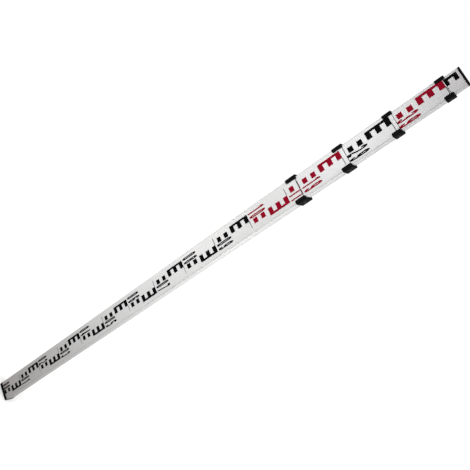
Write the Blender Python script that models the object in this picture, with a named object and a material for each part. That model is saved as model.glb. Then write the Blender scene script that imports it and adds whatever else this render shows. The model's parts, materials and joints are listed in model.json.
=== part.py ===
"""Telescopic aluminium levelling staff, five box sections, drawn partly out.

Metres, +Z up along the staff.  The origin is the centre of the foot's
underside, which is also the zero of the scale.  The graduated face looks
along -Y and the back, with the lock holes, along +Y.
"""
import math

import bpy
from mathutils import Vector

# ---------------------------------------------------------------- dimensions
MM = 0.001
GAP = 0.3 * MM              # play between pieces that touch

WALL = 1.0 * MM             # tube wall
CORNER = 2.5 * MM           # outer corner radius of every tube
CORNER_SEG = 4              # facets in each rounded corner

WIDTH = {1: 52.4 * MM, 2: 48.1 * MM, 3: 43.8 * MM, 4: 39.5 * MM, 5: 35.2 * MM}
DEPTH = {1: 26.6 * MM, 2: 23.3 * MM, 3: 20.0 * MM, 4: 16.7 * MM, 5: 13.4 * MM}

# lower and upper end of each tube, with every section drawn out about 0.1 m
TUBE_Z = {
    1: (0.0110, 1.1300),
    2: (0.1175, 1.2398),
    3: (0.2279, 1.3440),
    4: (0.3333, 1.4408),
    5: (0.3784, 1.4678),
}

# end collars: lower and upper edge, wall over the tube's sides
COLLAR_Z = {
    1: (1.1098, 1.1343),
    2: (1.2200, 1.2418),
    3: (1.3268, 1.3456),
    4: (1.4277, 1.4450),
}
COLLAR_WALL = {1: 1.9 * MM, 2: 1.4 * MM, 3: 1.2 * MM, 4: 1.0 * MM}
COLLAR_FRONT = 1.6 * MM     # thickness of the hooks over the graduated face
COLLAR_BACK = 1.6 * MM
COLLAR_HOOK = {1: 6.8 * MM, 2: 6.7 * MM, 3: 6.5 * MM, 4: 5.8 * MM}  # reach over the face
COLLAR_ROUND = 1.1 * MM     # rounding of the upper and lower outer edges
LIP_PLAY = 0.35 * MM        # lip to the section that slides in it
BRIDGE_H = 1.0 * MM         # strip of the lip that crosses the face, above the tube's end
BRIDGE_SET = 0.1 * MM       # its front, behind the face

PIN_R = 1.25 * MM           # drive pins that hold a collar on its tube
PIN_HEAD_R = 2.1 * MM
PIN_HEAD_H = 0.6 * MM

# foot
FOOT_H = 10.7 * MM          # visible height of the foot
FOOT_PROUD = 0.5 * MM       # overhang past the tube
FOOT_EDGE = 0.7 * MM
FOOT_PLUG_TOP = 25.0 * MM
FOOT_SCREW_Z = 18.5 * MM
SCREW_R = 1.5 * MM
SCREW_HEAD_R = 3.0 * MM
SCREW_HEAD_H = 1.6 * MM
SCREW_LEN = 6.5 * MM

# top cap
CAP_Z = (1.4681, 1.4717)
CAP_PROUD = 0.4 * MM
CAP_PLUG_Z = 1.4500

# guide shoe in the lower end of sections 2 to 5
SHOE_UP = 18.0 * MM         # height inside the tube
SHOE_FLANGE = 2.0 * MM
SHOE_WALL = 2.0 * MM

# spring lock button, carried by the shoe
BUTTON_UP = 9.0 * MM        # axis above the tube's lower end
BUTTON_R = 4.5 * MM
BUTTON_FLANGE_R = 5.7 * MM
BUTTON_FLANGE_T = 1.5 * MM
BUTTON_SET = 3.4 * MM       # flange face below the tube's inner wall
BUTTON_OUT = 0.35 * MM      # crown past the tube's back at rest
BUTTON_BOSS_R = 2.0 * MM
BUTTON_BOSS_T = 1.0 * MM
POCKET_DEEP = 9.0 * MM      # pocket floor below the tube's inner wall
SPRING_R = 3.2 * MM
SPRING_WIRE_R = 0.32 * MM
SPRING_TURNS = 3.0

# travel of each section from this pose to fully drawn out
DRAW_OUT = {2: 0.7683, 3: 0.8946, 4: 0.8978, 5: 0.9724}
LOCK_HOLE_R = 4.9 * MM

# ------------------------------------------------------------------ cleaning
for thing in list(bpy.data.objects):
    bpy.data.objects.remove(thing, do_unlink=True)

# ----------------------------------------------------------------- materials


def material(name, colour, roughness, metallic):
    m = bpy.data.materials.new(name)
    m.use_nodes = True
    shader = m.node_tree.nodes["Principled BSDF"]
    shader.inputs["Base Color"].default_value = (*colour, 1.0)
    shader.inputs["Roughness"].default_value = roughness
    shader.inputs["Metallic"].default_value = metallic
    return m


def own_material(obj, kind):
    looks = {
        "aluminium": ((0.80, 0.80, 0.81), 0.38, 0.85),
        "black_plastic": ((0.012, 0.012, 0.013), 0.45, 0.0),
        "foot_plastic": ((0.014, 0.014, 0.014), 0.55, 0.0),
        "shoe_plastic": ((0.03, 0.03, 0.032), 0.5, 0.0),
        "button_plastic": ((0.02, 0.02, 0.022), 0.35, 0.0),
        "spring_steel": ((0.55, 0.55, 0.56), 0.3, 1.0),
        "pin_steel": ((0.62, 0.62, 0.63), 0.35, 1.0),
    }
    colour, roughness, metallic = looks[kind]
    obj.data.materials.append(
        material(kind + "_" + obj.name, colour, roughness, metallic)
    )


# ----------------------------------------------------------------- geometry


def rounded_rect(hw, hd, r, cy=0.0, seg=CORNER_SEG):
    """Corner-rounded rectangle in XY, counter-clockwise from +X."""
    out = []
    for cx, cyy, a0 in (
        (hw - r, hd - r, 0.0),
        (-hw + r, hd - r, 90.0),
        (-hw + r, -hd + r, 180.0),
        (hw - r, -hd + r, 270.0),
    ):
        for k in range(seg + 1):
            a = math.radians(a0 + 90.0 * k / seg)
            out.append((cx + r * math.cos(a), cy + cyy + r * math.sin(a)))
    return out


def add_object(name, verts, faces, kind=None, origin=(0.0, 0.0, 0.0), parent=None):
    o = Vector(origin)
    mesh = bpy.data.meshes.new(name)
    mesh.from_pydata([Vector(v) - o for v in verts], [], faces)
    mesh.validate()
    mesh.update()
    obj = bpy.data.objects.new(name, mesh)
    bpy.context.scene.collection.objects.link(obj)
    obj.location = o
    if parent is not None:
        obj.parent = parent
        obj.location = o - parent.location
    if kind:
        own_material(obj, kind)
    return obj


def loft(layers, flip=False):
    """Solid through a stack of like-numbered loops, given as 3D points."""
    n = len(layers[0])
    verts = [p for loop in layers for p in loop]
    faces = []
    for i in range(len(layers) - 1):
        a, b = i * n, (i + 1) * n
        for k in range(n):
            m = (k + 1) % n
            faces.append((a + k, a + m, b + m, b + k))
    faces.append(tuple(reversed(range(n))))
    faces.append(tuple(range((len(layers) - 1) * n, len(layers) * n)))
    if flip:
        faces = [tuple(reversed(f)) for f in faces]
    return verts, faces


def stack_z(pairs):
    """Layers for loft from (z, loop in XY)."""
    return [[(x, y, z) for x, y in loop] for z, loop in pairs]


def turned(profile, seg, centre, axis):
    """Solid of revolution: profile is (along, radius) from end to end.

    The first and last radius are above zero and closed by flat faces.
    """
    axis = Vector(axis).normalized()
    side = Vector((0, 0, 1)) if abs(axis.z) < 0.9 else Vector((1, 0, 0))
    e1 = side
    e2 = axis.cross(e1)
    c = Vector(centre)
    layers = []
    for along, r in profile:
        layers.append(
            [
                tuple(
                    c
                    + axis * along
                    + e1 * (r * math.cos(2 * math.pi * k / seg))
                    + e2 * (r * math.sin(2 * math.pi * k / seg))
                )
                for k in range(seg)
            ]
        )
    return loft(layers)


def box(lo, hi):
    (x0, y0, z0), (x1, y1, z1) = lo, hi
    return loft(
        [
            [(x0, y0, z0), (x1, y0, z0), (x1, y1, z0), (x0, y1, z0)],
            [(x0, y0, z1), (x1, y0, z1), (x1, y1, z1), (x0, y1, z1)],
        ]
    )


def cut(target, name, shape):
    """Take a shape out of the target with an exact Boolean."""
    cutter = add_object("cut_" + name, *shape)
    cutter.hide_render = True
    cutter.display_type = "WIRE"
    mod = target.modifiers.new("cut_" + name, "BOOLEAN")
    mod.operation = "DIFFERENCE"
    mod.solver = "EXACT"
    mod.object = cutter


def smooth(obj, angle=35.0):
    obj.data.shade_smooth()
    obj.data.set_sharp_from_angle(angle=math.radians(angle))


def rig(name, at):
    e = bpy.data.objects.new(name, None)
    e.empty_display_size = 0.05
    e.location = at
    bpy.context.scene.collection.objects.link(e)
    return e


# empties on the slide axis, one for each section
RIG = {n: rig("section_%d_axis" % n, (0.0, 0.0, TUBE_Z[n][0] if n > 1 else 0.0))
       for n in WIDTH}


def button_z(n):
    return TUBE_Z[n][0] + BUTTON_UP


# --------------------------------------------------------------------- tubes


def make_tube(n):
    hw, hd = WIDTH[n] / 2, DEPTH[n] / 2
    z0, z1 = TUBE_Z[n]
    outer = rounded_rect(hw, hd, CORNER)
    inner = rounded_rect(hw - WALL, hd - WALL, CORNER - WALL)
    m = len(outer)
    verts = (
        [(x, y, z0) for x, y in outer]
        + [(x, y, z1) for x, y in outer]
        + [(x, y, z0) for x, y in inner]
        + [(x, y, z1) for x, y in inner]
    )
    faces = []
    for k in range(m):
        j = (k + 1) % m
        faces.append((k, j, m + j, m + k))
        faces.append((2 * m + j, 2 * m + k, 3 * m + k, 3 * m + j))
        faces.append((j, k, 2 * m + k, 2 * m + j))
        faces.append((m + k, m + j, 3 * m + j, 3 * m + k))
    tube = add_object("section_%d_tube" % n, verts, faces, "aluminium",
                      (0, 0, z0), RIG[n])
    # hole for the tube's own lock button
    if n > 1:
        cut(tube, "button_seat_%d" % n,
            turned([(-3 * MM, BUTTON_R + GAP), (3 * MM, BUTTON_R + GAP)], 24,
                   (0, hd - WALL / 2, button_z(n)), (0, 1, 0)))
    # hole that the next section's button springs into when drawn right out
    if n < 5:
        cut(tube, "lock_hole_%d" % n,
            turned([(-3 * MM, LOCK_HOLE_R), (3 * MM, LOCK_HOLE_R)], 24,
                   (0, hd - WALL / 2, button_z(n + 1) + DRAW_OUT[n + 1]),
                   (0, 1, 0)))
        zc = sum(COLLAR_Z[n]) / 2
        for side, s in (("left", -1), ("right", 1)):
            cut(tube, "pin_hole_%d_%s" % (n, side),
                turned([(-3 * MM, PIN_R + GAP), (3 * MM, PIN_R + GAP)], 12,
                       (s * (hw - WALL / 2), 0, zc), (1, 0, 0)))
    if n == 1:
        cut(tube, "foot_screw_hole",
            turned([(-3 * MM, SCREW_R + GAP), (3 * MM, SCREW_R + GAP)], 16,
                   (0, hd - WALL / 2, FOOT_SCREW_Z), (0, 1, 0)))
    return tube


# ------------------------------------------------------------------- collars


def make_collar(n):
    """End collar: grips the back and sides of tube n, hooks over the edges of
    its face, and carries a lip that guides section n + 1.  Only a thin strip of
    the lip crosses the face, so the scale stays in view."""
    hw, hd = WIDTH[n] / 2, DEPTH[n] / 2
    z0, z1 = COLLAR_Z[n]
    wall = COLLAR_WALL[n]
    ow = hw + GAP + wall
    yf = -(hd + GAP + COLLAR_FRONT)
    yb = hd + GAP + COLLAR_BACK
    od, oc = (yb - yf) / 2, (yb + yf) / 2
    r = CORNER + GAP + COLLAR_FRONT

    def ring(inset):
        return rounded_rect(ow - inset, od - inset, r - inset, oc)

    e = COLLAR_ROUND
    # quarter round: inset falls from e to 0 as z rises by e
    layers = [
        (z0, ring(e)),
        (z0 + e * 0.3, ring(e * 0.3)),
        (z0 + e, ring(0.0)),
        (z1 - e, ring(0.0)),
        (z1 - e * 0.3, ring(e * 0.3)),
        (z1, ring(e)),
    ]
    collar = add_object("collar_%d" % n, *loft(stack_z(layers)),
                        "black_plastic", (0, 0, z0), RIG[n])
    # seat over the tube, up to the lip
    lip = TUBE_Z[n][1] + GAP
    cut(collar, "collar_seat_%d" % n,
        loft(stack_z([(z0 - 5 * MM, rounded_rect(hw + GAP, hd + GAP, CORNER + GAP)),
                      (lip, rounded_rect(hw + GAP, hd + GAP, CORNER + GAP))])))
    # opening for the next section
    nw, nd = WIDTH[n + 1] / 2 + LIP_PLAY, DEPTH[n + 1] / 2 + LIP_PLAY
    cut(collar, "collar_mouth_%d" % n,
        loft(stack_z([(z0 - 6 * MM, rounded_rect(nw, nd, CORNER)),
                      (z1 + 5 * MM, rounded_rect(nw, nd, CORNER))])))
    # window that leaves the face clear, flared at both ends: in front of the
    # face it runs the whole height, behind the face only above the strip
    xs = hw - COLLAR_HOOK[n]
    f = 2.2 * MM
    side = []
    side.append((xs + f + 4 * MM, z0 - 4 * MM))
    for k in range(4):
        a = math.radians(30.0 * k)
        side.append((xs + f - f * math.sin(a), z0 + f - f * math.cos(a)))
    top = [(x, z1 - (z - z0)) for x, z in reversed(side)]
    right = side + top
    left = [(-x, z) for x, z in reversed(right)]
    loop = right + left                      # counter-clockwise in XZ from -Y
    ya, ym, yb2 = yf - 5 * MM, -(hd - BRIDGE_SET), -(DEPTH[n + 1] / 2 - 1.0 * MM)
    cut(collar, "collar_window_%d" % n,
        loft([[(x, ya, z) for x, z in loop], [(x, ym, z) for x, z in loop]], flip=True))
    zb = lip + BRIDGE_H
    right = [(xs, zb)] + [(x, z) for x, z in top if z > zb + 0.05 * MM]
    loop = right + [(-x, z) for x, z in reversed(right)]
    cut(collar, "collar_gate_%d" % n,
        loft([[(x, ya, z) for x, z in loop], [(x, yb2, z) for x, z in loop]], flip=True))
    zc = (z0 + z1) / 2
    for name, s in (("left", -1), ("right", 1)):
        cut(collar, "collar_pin_hole_%d_%s" % (n, name),
            turned([(-4 * MM, PIN_R + GAP), (4 * MM, PIN_R + GAP)], 12,
                   (s * (hw + wall / 2), 0, zc), (1, 0, 0)))
        # drive pin: shank through collar and tube wall, low domed head
        start = hw - WALL + 0.05 * MM
        seat = ow + 0.25 * MM
        length = seat - start
        shape = turned(
            [(0.0, PIN_R * 0.8), (0.3 * MM, PIN_R), (length, PIN_R),
             (length + 0.01 * MM, PIN_HEAD_R),
             (length + 0.25 * MM, PIN_HEAD_R),
             (length + 0.48 * MM, PIN_HEAD_R * 0.75),
             (length + PIN_HEAD_H, PIN_HEAD_R * 0.35)],
            12, (s * start, 0, zc), (s, 0, 0))
        pin = add_object("collar_%d_pin_%s" % (n, name), *shape, "pin_steel",
                         (s * start, 0, zc), RIG[n])
        smooth(pin)
    smooth(collar)
    return collar


# ---------------------------------------------------------------- foot, cap


def make_foot():
    hw, hd = WIDTH[1] / 2, DEPTH[1] / 2
    fw, fd = hw + FOOT_PROUD, hd + FOOT_PROUD
    pw, pd = hw - WALL - GAP, hd - WALL - GAP
    r = CORNER + FOOT_PROUD
    foot = add_object(
        "foot_cap",
        *loft(stack_z([
            (0.0, rounded_rect(fw - FOOT_EDGE, fd - FOOT_EDGE, r - FOOT_EDGE)),
            (FOOT_EDGE, rounded_rect(fw, fd, r)),
            (FOOT_H - 0.3 * MM, rounded_rect(fw, fd, r)),
            (FOOT_H, rounded_rect(fw - 0.3 * MM, fd - 0.3 * MM, r - 0.3 * MM)),
            (FOOT_H + 0.001 * MM, rounded_rect(pw, pd, CORNER - WALL)),
            (FOOT_PLUG_TOP, rounded_rect(pw, pd, CORNER - WALL)),
        ])), "foot_plastic", (0, 0, 0), RIG[1])
    cut(foot, "foot_hollow",
        loft(stack_z([
            (FOOT_H + 2.0 * MM, rounded_rect(pw - 2.2 * MM, pd - 2.2 * MM, 1.2 * MM)),
            (FOOT_PLUG_TOP + 5 * MM, rounded_rect(pw - 2.2 * MM, pd - 2.2 * MM, 1.2 * MM)),
        ])))
    cut(foot, "foot_screw_bore",
        turned([(-4 * MM, SCREW_R + GAP), (4 * MM, SCREW_R + GAP)], 16,
               (0, pd, FOOT_SCREW_Z), (0, 1, 0)))
    smooth(foot)
    # pan-head screw through the back wall into the plug
    seat = hd + 0.25 * MM
    start = seat - SCREW_LEN
    screw = add_object(
        "foot_cap_screw",
        *turned([(0.0, 0.5 * MM), (1.2 * MM, SCREW_R), (SCREW_LEN, SCREW_R),
                 (SCREW_LEN + 0.01 * MM, SCREW_HEAD_R),
                 (SCREW_LEN + 0.6 * MM, SCREW_HEAD_R),
                 (SCREW_LEN + 1.2 * MM, SCREW_HEAD_R * 0.82),
                 (SCREW_LEN + SCREW_HEAD_H, SCREW_HEAD_R * 0.5)],
                20, (0, start, FOOT_SCREW_Z), (0, 1, 0)),
        "pin_steel", (0, start, FOOT_SCREW_Z), RIG[1])
    top = seat + SCREW_HEAD_H
    for name, dx, dz in (("a", 1.6 * MM, 0.35 * MM), ("b", 0.35 * MM, 1.6 * MM)):
        cut(screw, "screw_cross_" + name,
            box((-dx, top - 0.9 * MM, FOOT_SCREW_Z - dz),
                (dx, top + 1.0 * MM, FOOT_SCREW_Z + dz)))
    smooth(screw)


def make_cap():
    hw, hd = WIDTH[5] / 2, DEPTH[5] / 2
    fw, fd = hw + CAP_PROUD, hd + CAP_PROUD
    pw, pd = hw - WALL - GAP, hd - WALL - GAP
    r = CORNER + CAP_PROUD
    z0, z1 = CAP_Z
    cap = add_object(
        "top_cap",
        *loft(stack_z([
            (CAP_PLUG_Z, rounded_rect(pw - 0.4 * MM, pd - 0.4 * MM, 1.1 * MM)),
            (CAP_PLUG_Z + 1.5 * MM, rounded_rect(pw, pd, CORNER - WALL)),
            (z0 - 0.001 * MM, rounded_rect(pw, pd, CORNER - WALL)),
            (z0, rounded_rect(fw - 0.3 * MM, fd - 0.3 * MM, r - 0.3 * MM)),
            (z0 + 0.3 * MM, rounded_rect(fw, fd, r)),
            (z1 - 0.9 * MM, rounded_rect(fw, fd, r)),
            (z1 - 0.25 * MM, rounded_rect(fw - 0.3 * MM, fd - 0.3 * MM, r - 0.3 * MM)),
            (z1, rounded_rect(fw - 1.0 * MM, fd - 1.0 * MM, r - 1.0 * MM)),
        ])), "black_plastic", (0, 0, z0), RIG[5])
    cut(cap, "cap_hollow",
        loft(stack_z([
            (CAP_PLUG_Z - 5 * MM, rounded_rect(pw - 1.8 * MM, pd - 1.8 * MM, 0.8 * MM)),
            (z0 - 1.5 * MM, rounded_rect(pw - 1.8 * MM, pd - 1.8 * MM, 0.8 * MM)),
        ])))
    smooth(cap)


# --------------------------------------------------- guide shoes and locks


def make_shoe(n):
    """Moulded plug in the tube's lower end: its flange runs on the wall of the
    section outside it, and its pocket holds the lock button and spring."""
    hw, hd = WIDTH[n] / 2, DEPTH[n] / 2
    z0 = TUBE_Z[n][0]
    bw, bd = hw - WALL - GAP, hd - WALL - GAP
    fw = WIDTH[n - 1] / 2 - WALL - GAP
    fd = DEPTH[n - 1] / 2 - WALL - GAP
    zf = z0 - GAP
    shoe = add_object(
        "guide_shoe_%d" % n,
        *loft(stack_z([
            (zf - SHOE_FLANGE, rounded_rect(fw - 0.6 * MM, fd - 0.3 * MM, 1.4 * MM)),
            (zf - SHOE_FLANGE + 0.6 * MM, rounded_rect(fw, fd, 1.6 * MM)),
            (zf - 0.001 * MM, rounded_rect(fw, fd, 1.6 * MM)),
            (zf, rounded_rect(bw, bd, CORNER - WALL)),
            (z0 + SHOE_UP - 1.0 * MM, rounded_rect(bw, bd, CORNER - WALL)),
            (z0 + SHOE_UP, rounded_rect(bw - 0.4 * MM, bd - 0.4 * MM, 1.1 * MM)),
        ])), "shoe_plastic", (0, 0, z0), RIG[n])
    # lightening pockets each side of the lock boss, open at the top
    boss = BUTTON_FLANGE_R + GAP + 1.6 * MM
    for name, s in (("left", -1), ("right", 1)):
        xa, xb = sorted((s * boss, s * (bw - SHOE_WALL)))
        cut(shoe, "shoe_pocket_%d_%s" % (n, name),
            box((xa, -(bd - SHOE_WALL), z0 + 1.5 * MM),
                (xb, bd - SHOE_WALL, z0 + SHOE_UP + 5 * MM)))
    yi = hd - WALL
    zc = button_z(n)
    cut(shoe, "button_pocket_%d" % n,
        turned([(-POCKET_DEEP, BUTTON_FLANGE_R + GAP), (5 * MM, BUTTON_FLANGE_R + GAP)],
               24, (0, yi, zc), (0, 1, 0)))
    # button: spring boss, flange, shank and domed crown
    face = -BUTTON_SET
    crown = WALL + BUTTON_OUT
    button = add_object(
        "lock_button_%d" % n,
        *turned([(face - BUTTON_FLANGE_T - BUTTON_BOSS_T, BUTTON_BOSS_R - 0.3 * MM),
                 (face - BUTTON_FLANGE_T - BUTTON_BOSS_T + 0.4 * MM, BUTTON_BOSS_R),
                 (face - BUTTON_FLANGE_T - 0.001 * MM, BUTTON_BOSS_R),
                 (face - BUTTON_FLANGE_T, BUTTON_FLANGE_R),
                 (face, BUTTON_FLANGE_R),
                 (face + 0.001 * MM, BUTTON_R),
                 (crown - 1.1 * MM, BUTTON_R),
                 (crown - 0.45 * MM, BUTTON_R - 0.35 * MM),
                 (crown - 0.12 * MM, BUTTON_R - 1.1 * MM),
                 (crown, BUTTON_R - 2.6 * MM)],
                24, (0, yi, zc), (0, 1, 0)),
        "button_plastic", (0, yi, zc), RIG[n])
    smooth(button, 30.0)
    # compression spring between the pocket floor and the flange
    ya = yi - POCKET_DEEP + GAP + SPRING_WIRE_R
    yb = yi + face - BUTTON_FLANGE_T - GAP - SPRING_WIRE_R
    per_turn, ring = 12, 6
    count = int(per_turn * SPRING_TURNS) + 1
    layers = []
    for k in range(count):
        t = k / (count - 1)
        a = 2 * math.pi * SPRING_TURNS * t
        c = Vector((SPRING_R * math.cos(a), ya + (yb - ya) * t, zc + SPRING_R * math.sin(a)))
        radial = Vector((math.cos(a), 0, math.sin(a)))
        tangent = Vector((-math.sin(a) * SPRING_R * 2 * math.pi * SPRING_TURNS,
                          (yb - ya),
                          math.cos(a) * SPRING_R * 2 * math.pi * SPRING_TURNS)).normalized()
        binormal = tangent.cross(radial).normalized()
        layers.append([
            tuple(c + SPRING_WIRE_R * (radial * math.cos(2 * math.pi * j / ring)
                                       + binormal * math.sin(2 * math.pi * j / ring)))
            for j in range(ring)])
    spring = add_object("lock_spring_%d" % n, *loft(layers, flip=False),
                        "spring_steel", (0, yi, zc), RIG[n])
    smooth(spring)
    smooth(shoe)


for number in WIDTH:
    smooth(make_tube(number))
for number in COLLAR_Z:
    make_collar(number)
make_foot()
make_cap()
for number in (2, 3, 4, 5):
    make_shoe(number)
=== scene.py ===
import json
import math

import bmesh
import bpy
from mathutils import Matrix, Vector
from mathutils.geometry import delaunay_2d_cdt


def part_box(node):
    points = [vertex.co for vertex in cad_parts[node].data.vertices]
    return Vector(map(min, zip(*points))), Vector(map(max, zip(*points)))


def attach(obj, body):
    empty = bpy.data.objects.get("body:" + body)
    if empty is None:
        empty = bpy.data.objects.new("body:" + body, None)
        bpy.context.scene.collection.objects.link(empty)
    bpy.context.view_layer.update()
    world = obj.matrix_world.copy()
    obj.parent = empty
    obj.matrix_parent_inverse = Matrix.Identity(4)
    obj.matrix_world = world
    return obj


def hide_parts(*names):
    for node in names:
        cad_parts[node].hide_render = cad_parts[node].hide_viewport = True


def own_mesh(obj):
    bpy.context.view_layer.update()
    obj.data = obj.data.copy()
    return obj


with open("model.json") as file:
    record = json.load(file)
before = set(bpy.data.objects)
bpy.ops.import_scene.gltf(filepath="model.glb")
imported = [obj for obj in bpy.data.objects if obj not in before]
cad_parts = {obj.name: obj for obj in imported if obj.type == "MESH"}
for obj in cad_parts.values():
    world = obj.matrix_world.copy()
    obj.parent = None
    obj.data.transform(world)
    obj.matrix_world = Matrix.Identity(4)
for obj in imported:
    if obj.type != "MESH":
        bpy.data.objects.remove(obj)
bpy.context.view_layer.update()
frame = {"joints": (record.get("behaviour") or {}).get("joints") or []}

MM = 0.001
SECTIONS = (1, 2, 3, 4, 5)
JOINT = {j["name"]: j for j in frame["joints"]}
TUBE = {n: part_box("section_%d_tube" % n) for n in SECTIONS}
COLLAR = {n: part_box("collar_%d" % n) for n in (1, 2, 3, 4)}
SHOE = {n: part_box("guide_shoe_%d" % n) for n in (2, 3, 4, 5)}
BUTTON = {n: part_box("lock_button_%d" % n) for n in (2, 3, 4, 5)}
SPRING = {n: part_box("lock_spring_%d" % n) for n in (2, 3, 4, 5)}
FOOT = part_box("foot_cap")
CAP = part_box("top_cap")

WALL = 1.0 * MM
CORNER = 2.5 * MM
GAP = 0.3 * MM
DRAW = {n: JOINT["section_%d_slide" % n]["range_m"][1] for n in (2, 3, 4, 5)}
# scale reading at z = 0 of each section: what is drawn out below it adds up
BASE = {1: 0.0}
for _n in (2, 3, 4, 5):
    BASE[_n] = BASE[_n - 1] + DRAW[_n]


def half_width(n):
    return TUBE[n][1].x


def half_depth(n):
    return TUBE[n][1].y


def mid(box):
    return (box[0] + box[1]) / 2


# ------------------------------------------------------------------ materials


class Graph:
    """Short calls for building a node tree."""

    def __init__(self, name):
        self.mat = bpy.data.materials.new(name)
        self.mat.use_nodes = True
        self.t = self.mat.node_tree
        self.t.nodes.clear()
        self.out = self.t.nodes.new("ShaderNodeOutputMaterial")
        self.shader = self.t.nodes.new("ShaderNodeBsdfPrincipled")
        self.link(self.shader.outputs[0], self.out.inputs["Surface"])
        self.coord = self.t.nodes.new("ShaderNodeTexCoord").outputs["Object"]

    def link(self, a, b):
        self.t.links.new(a, b)

    def put(self, socket, value):
        if isinstance(value, bpy.types.NodeSocket):
            self.link(value, socket)
        else:
            socket.default_value = value

    def scaled(self, x, y, z, rot=(0, 0, 0)):
        m = self.t.nodes.new("ShaderNodeMapping")
        m.inputs["Scale"].default_value = (x, y, z)
        m.inputs["Rotation"].default_value = rot
        self.link(self.coord, m.inputs["Vector"])
        return m.outputs[0]

    def noise(self, scale, detail=3.0, rough=0.5, vector=None, distort=0.0):
        n = self.t.nodes.new("ShaderNodeTexNoise")
        n.inputs["Scale"].default_value = scale
        n.inputs["Detail"].default_value = detail
        n.inputs["Roughness"].default_value = rough
        n.inputs["Distortion"].default_value = distort
        self.link(vector if vector is not None else self.coord, n.inputs["Vector"])
        return n.outputs["Fac"]

    def voronoi(self, scale, vector=None, feature="F1"):
        n = self.t.nodes.new("ShaderNodeTexVoronoi")
        n.feature = feature
        n.inputs["Scale"].default_value = scale
        self.link(vector if vector is not None else self.coord, n.inputs["Vector"])
        return n.outputs["Distance"]

    def ramp(self, fac, stops, ease=False):
        r = self.t.nodes.new("ShaderNodeValToRGB")
        r.color_ramp.interpolation = "EASE" if ease else "LINEAR"
        els = r.color_ramp.elements
        while len(els) < len(stops):
            els.new(0.5)
        for e, (p, c) in zip(els, stops):
            e.position = p
            e.color = (c, c, c, 1) if isinstance(c, (int, float)) else (*c, 1)
        self.link(fac, r.inputs[0])
        return r.outputs[0]

    def math(self, op, a, b=0.0, c=0.0, clamp=False):
        m = self.t.nodes.new("ShaderNodeMath")
        m.operation = op
        m.use_clamp = clamp
        for s, v in zip(m.inputs, (a, b, c)):
            self.put(s, v)
        return m.outputs[0]

    def mix(self, fac, a, b, how="MIX"):
        m = self.t.nodes.new("ShaderNodeMix")
        m.data_type = "RGBA"
        m.blend_type = how
        self.put(m.inputs[0], fac)
        for s, v in ((m.inputs[6], a), (m.inputs[7], b)):
            self.put(s, (*v, 1) if isinstance(v, tuple) and len(v) == 3 else v)
        return m.outputs[2]

    def bump(self, height, strength, distance, normal=None):
        b = self.t.nodes.new("ShaderNodeBump")
        b.inputs["Strength"].default_value = strength
        b.inputs["Distance"].default_value = distance
        self.link(height, b.inputs["Height"])
        if normal is not None:
            self.link(normal, b.inputs["Normal"])
        return b.outputs[0]

    def position(self):
        s = self.t.nodes.new("ShaderNodeSeparateXYZ")
        self.link(self.coord, s.inputs[0])
        return s.outputs

    def pointiness(self):
        return self.t.nodes.new("ShaderNodeNewGeometry").outputs["Pointiness"]

    def set(self, **values):
        for name, v in values.items():
            self.put(self.shader.inputs[name.replace("_", " ")], v)


def aluminium(name, tint=(1.0, 1.0, 1.0), foot_painted_shade=False):
    """Drawn tube with a satin anodised skin: long die lines, cloudy sheen, fine
    rubbing marks from the sections that slide in it, worn edges."""
    g = Graph(name)
    along = g.scaled(1.0, 1.0, 0.02)
    lines = g.noise(900.0, 2.0, 0.6, along)
    broad = g.noise(220.0, 2.0, 0.5, along)
    cloud = g.noise(26.0, 4.0, 0.62, g.scaled(1.0, 1.0, 0.35))
    mottle = g.noise(160.0, 3.0, 0.6, g.scaled(1.0, 1.0, 0.6))
    base = tuple(0.365 * c for c in tint)
    dark = tuple(0.335 * c for c in tint)
    col = g.mix(g.ramp(cloud, [(0.34, 0.0), (0.68, 1.0)]), dark, base)
    col = g.mix(g.math("MULTIPLY", g.ramp(mottle, [(0.35, 0.0), (0.75, 1.0)]), 0.35),
                col, tuple(0.40 * c for c in tint))
    col = g.mix(g.math("MULTIPLY", g.ramp(lines, [(0.42, 1.0), (0.52, 0.0)]), 0.16),
                col, tuple(0.25 * c for c in tint))
    # short scuffs, mostly lengthwise
    scuff = g.noise(420.0, 2.0, 0.5, g.scaled(1.0, 1.0, 0.12, (0.0, 0.05, 0.0)))
    mark = g.math("MULTIPLY", g.ramp(scuff, [(0.70, 0.0), (0.76, 1.0)]),
                  g.ramp(cloud, [(0.45, 0.0), (0.6, 1.0)]))
    col = g.mix(g.math("MULTIPLY", mark, 0.30), col, (0.245, 0.24, 0.235))
    edge = g.ramp(g.pointiness(), [(0.52, 0.0), (0.60, 1.0)])
    col = g.mix(g.math("MULTIPLY", edge, 0.35), col, (0.55, 0.55, 0.55))
    if foot_painted_shade:
        # painted shade: the skin is painted darker and warmer towards the foot, in place of the
        # light falling off there
        low = g.math("MULTIPLY_ADD", g.position()[2], 2.0, g.math("MULTIPLY", cloud, 0.08))
        col = g.mix(1.0, col, g.ramp(low, [(0.03, (0.93, 0.885, 0.865)),
                                          (0.40, (0.965, 0.945, 0.935)),
                                          (0.90, (1.0, 1.0, 1.0))]), "MULTIPLY")
    rough = g.math("MULTIPLY_ADD", cloud, 0.14, 0.42)
    rough = g.math("MULTIPLY_ADD", lines, 0.08, rough)
    h = g.math("MULTIPLY_ADD", broad, 0.6, g.math("MULTIPLY", lines, 0.4))
    g.set(Base_Color=col, Roughness=rough, Metallic=0.22,
          Normal=g.bump(h, 0.25, 0.00006))
    g.shader.inputs["Specular IOR Level"].default_value = 0.5
    return g.mat


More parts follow.
